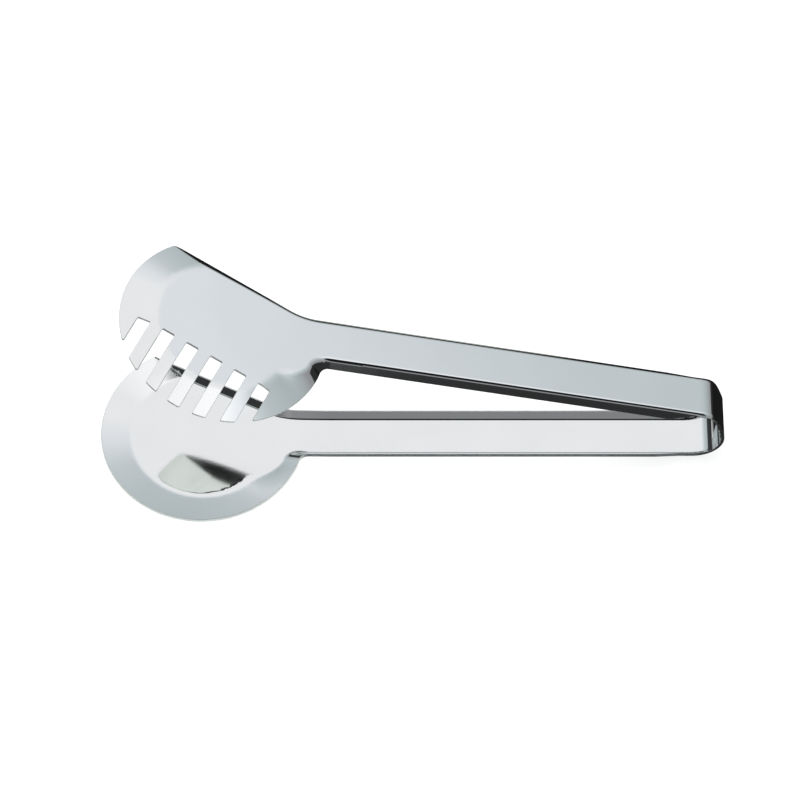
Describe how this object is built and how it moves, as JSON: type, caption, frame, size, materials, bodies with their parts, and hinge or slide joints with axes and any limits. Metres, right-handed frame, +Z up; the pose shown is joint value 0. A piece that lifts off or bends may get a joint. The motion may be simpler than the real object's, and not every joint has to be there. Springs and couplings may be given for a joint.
{
  "type": "ice tongs",
  "caption": "Sprung ice tongs bent from one polished steel strip, with channelled arms and round dished heads, the upper one slotted into a comb.",
  "frame": {"origin": "on the flat underside of the lower arm, on its centre line, half way along the tongs", "axes": "+X along the lower arm towards the bend, +Z up from the underside of the lower arm, +Y to the side where the heads are straight"},
  "size_m": [0.2102, 0.0648, 0.0775],
  "materials": {
    "polished_steel": "mirror-polished stainless steel"
  },
  "bodies": {
    "lower": {"lower_arm": "polished_steel", "spring_bow": "polished_steel"},
    "upper": {"upper_arm": "polished_steel"}
  },
  "joints": [
    {"name": "squeeze", "type": "hinge", "parent": "lower", "child": "upper", "pos_m": [0.0911, 0, 0.014], "axis": [0, -1, 0], "range_deg": [-5, 21], "stiffness_Nm_per_rad": 5.7, "springref_deg": -0.45, "deforming": ["spring_bow"]}
  ]
}
